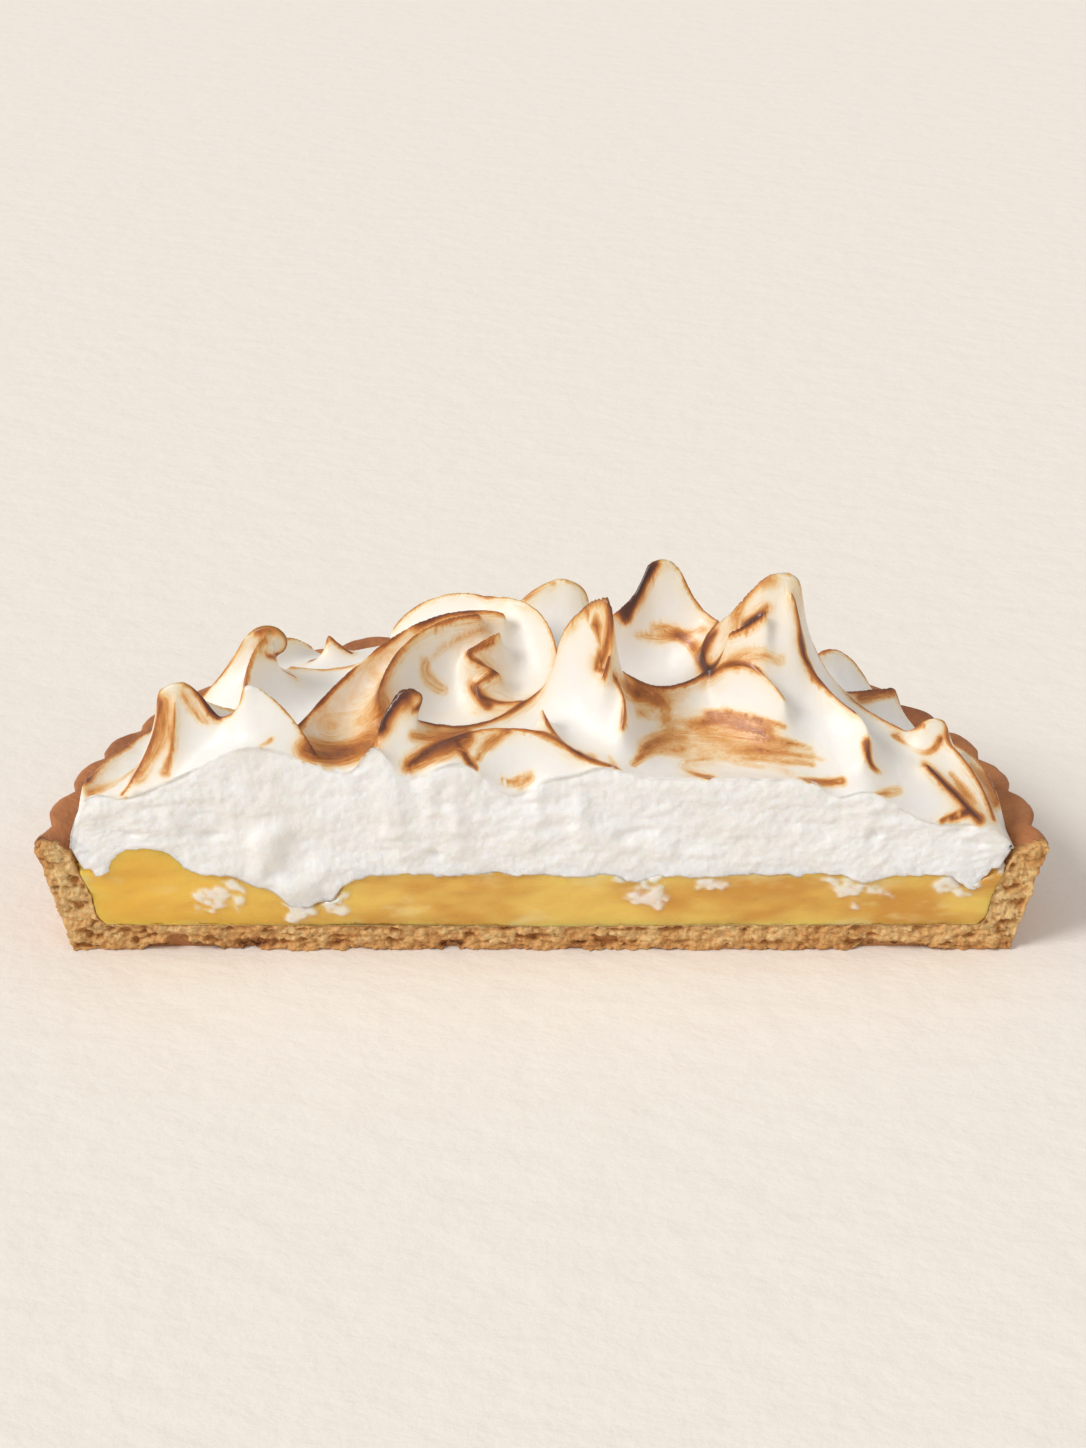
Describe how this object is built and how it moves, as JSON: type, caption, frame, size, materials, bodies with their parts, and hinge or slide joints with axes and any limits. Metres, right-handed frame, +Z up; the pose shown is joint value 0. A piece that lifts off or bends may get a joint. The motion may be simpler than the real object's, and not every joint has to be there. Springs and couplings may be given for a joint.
{
  "type": "half lemon meringue tart",
  "caption": "Half of a round lemon meringue tart cut along its diameter: fluted pastry crust, lemon curd layer and tall torched meringue peaks and swirls.",
  "frame": {"origin": "centre of the bottom of the half tart's bounding box, on the surface that it stands on", "axes": "+Z up, +X to the right along the cut, +Y from the cut face towards the round back"},
  "size_m": [0.243, 0.1216, 0.0885],
  "materials": {
    "pastry": "baked shortcrust, dry and crumbly",
    "curd": "set lemon curd, moist and glossy",
    "meringue": "white foam, torched caramel and brown along its crests"
  },
  "bodies": {
    "root": {"crust": "pastry", "lemon_curd": "curd", "meringue": "meringue"}
  },
  "joints": []
}
